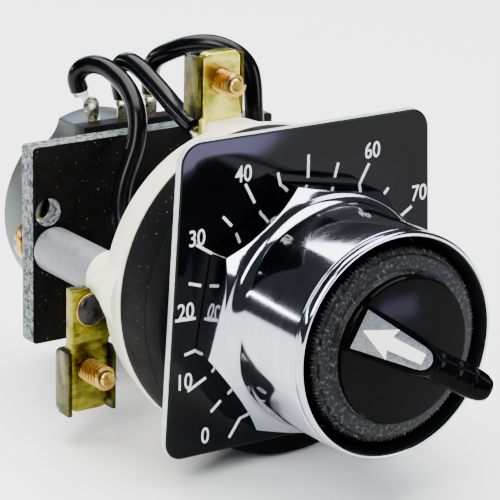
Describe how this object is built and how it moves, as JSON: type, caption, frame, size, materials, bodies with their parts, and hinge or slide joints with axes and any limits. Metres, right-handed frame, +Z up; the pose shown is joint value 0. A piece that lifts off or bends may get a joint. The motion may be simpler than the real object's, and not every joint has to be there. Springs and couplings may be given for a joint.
{
  "type": "panel potentiometer operator",
  "caption": "Panel-mounted rotary potentiometer operator with a lever knob in a chromed ring nut, a dial plate, posts, rear plate and screw terminals.",
  "frame": {"origin": "on the shaft axis, in the panel plane (the back face of the dial plate, which rests on the panel)", "axes": "+Y along the shaft into the enclosure (-Y points to the person at the panel), +Z up, +X to the person's right"},
  "size_m": [0.0514, 0.0914, 0.0548],
  "materials": {
    "black_enamel_plate": "gloss",
    "chrome_nut": "polished",
    "black_knob": "satin",
    "inlay_silver": "satin",
    "arrow_white": "matte",
    "screw_black": "black oxide",
    "shaft_steel": "ground",
    "clip_steel": "phosphated",
    "coupling_zinc": "zinc plated",
    "bushing_bronze": "sintered",
    "seal_rubber": "matte",
    "retainer_steel": "zinc plated",
    "body_black": "moulded",
    "gasket_rubber": "moulded",
    "cream_moulding": "moulded",
    "screw_steel": "zinc plated",
    "post_grey": "satin",
    "yellow_zinc": "yellow passivated zinc",
    "laminate_black": "pressed paper laminate",
    "nickel_brass": "plated",
    "pot_plate": "zinc plated",
    "phenolic_dark": "moulded phenolic",
    "can_zinc": "zinc plated, drawn",
    "track_carbon": "carbon ink",
    "tinned_brass": "tinned",
    "strip_passivated": "yellow-green passivated zinc",
    "stud_black": "black oxide",
    "clamp_olive": "olive passivated zinc",
    "screw_gold": "yellow passivated zinc",
    "lead_black": "gloss sleeving"
  },
  "bodies": {
    "base": {"shaft_bushing": "bushing_bronze", "shaft_seal": "seal_rubber", "seal_retainer": "retainer_steel", "operator_body": "body_black", "panel_gasket": "gasket_rubber", "mounting_ring": "cream_moulding", "mounting_ring_screws": "screw_steel", "post_left": "post_grey", "post_right": "post_grey", "post_screws": "yellow_zinc", "post_lock_washers": "yellow_zinc", "rear_plate": "laminate_black", "pot_bushing": "nickel_brass", "pot_nut": "screw_steel", "pot_lock_washer": "screw_steel", "pot_front_plate": "pot_plate", "pot_base": "phenolic_dark", "pot_can": "can_zinc", "resistance_track": "track_carbon", "collector_ring": "nickel_brass", "lug_left": "tinned_brass", "lug_centre": "tinned_brass", "lug_right": "tinned_brass", "terminal_strip_top": "strip_passivated", "terminal_strip_left": "strip_passivated", "terminal_strip_right": "strip_passivated", "strip_rivets": "nickel_brass", "stop_studs": "stud_black", "lead_tags": "tinned_brass", "lead_left": "lead_black", "lead_centre": "lead_black", "lead_right": "lead_black"},
    "legend_plate": {"legend_plate": "black_enamel_plate"},
    "ring_nut": {"ring_nut": "chrome_nut"},
    "rotor": {"knob": "black_knob", "knob_insert": "inlay_silver", "knob_arrow": "arrow_white", "knob_set_screw": "screw_black", "drive_shaft": "shaft_steel", "shaft_clip": "clip_steel", "shaft_coupling": "coupling_zinc", "coupling_screws": "screw_black", "pot_shaft": "shaft_steel", "wiper_carrier": "phenolic_dark", "wiper_brushes": "track_carbon"},
    "clamp_top": {"wire_clamp_top": "clamp_olive"},
    "clamp_left": {"wire_clamp_left": "clamp_olive"},
    "clamp_right": {"wire_clamp_right": "clamp_olive"},
    "screw_top": {"clamp_screw_top": "screw_gold"},
    "screw_left": {"clamp_screw_left": "screw_gold"},
    "screw_right": {"clamp_screw_right": "screw_gold"}
  },
  "joints": [
    {"name": "knob_turn", "type": "hinge", "parent": "base", "child": "rotor", "pos_m": [0, 0, 0], "axis": [0, 1, 0], "range_deg": [-85, 205]},
    {"name": "legend_plate_travel", "type": "slide", "parent": "base", "child": "legend_plate", "axis": [0, -1, 0], "range_m": [0, 0.005]},
    {"name": "ring_nut_turn", "type": "hinge", "parent": "legend_plate", "child": "ring_nut", "pos_m": [0, 0, 0], "axis": [0, -1, 0], "range_deg": [0, 1201]},
    {"name": "clamp_top_travel", "type": "slide", "parent": "base", "child": "clamp_top", "axis": [0, 1, 0], "range_m": [-0.0012, 0.0013]},
    {"name": "screw_top_turn", "type": "hinge", "parent": "clamp_top", "child": "screw_top", "pos_m": [0.0004, 0, 0.0272], "axis": [0, 1, 0], "range_deg": [-546, 591]},
    {"name": "clamp_left_travel", "type": "slide", "parent": "base", "child": "clamp_left", "axis": [0, 1, 0], "range_m": [0, 0.0025]},
    {"name": "screw_left_turn", "type": "hinge", "parent": "clamp_left", "child": "screw_left", "pos_m": [-0.0217, 0, -0.0128], "axis": [0, 1, 0], "range_deg": [0, 1135]},
    {"name": "clamp_right_travel", "type": "slide", "parent": "base", "child": "clamp_right", "axis": [0, 1, 0], "range_m": [0, 0.0025]},
    {"name": "screw_right_turn", "type": "hinge", "parent": "clamp_right", "child": "screw_right", "pos_m": [0.0217, 0, -0.0128], "axis": [0, 1, 0], "range_deg": [0, 1135]}
  ],
  "couplings": [
    {"joint": "ring_nut_turn", "follows": "legend_plate_travel", "rad_per_m": 4188.8},
    {"joint": "screw_top_turn", "follows": "clamp_top_travel", "rad_per_m": 7915.8},
    {"joint": "screw_left_turn", "follows": "clamp_left_travel", "rad_per_m": 7915.8},
    {"joint": "screw_right_turn", "follows": "clamp_right_travel", "rad_per_m": 7915.8}
  ]
}
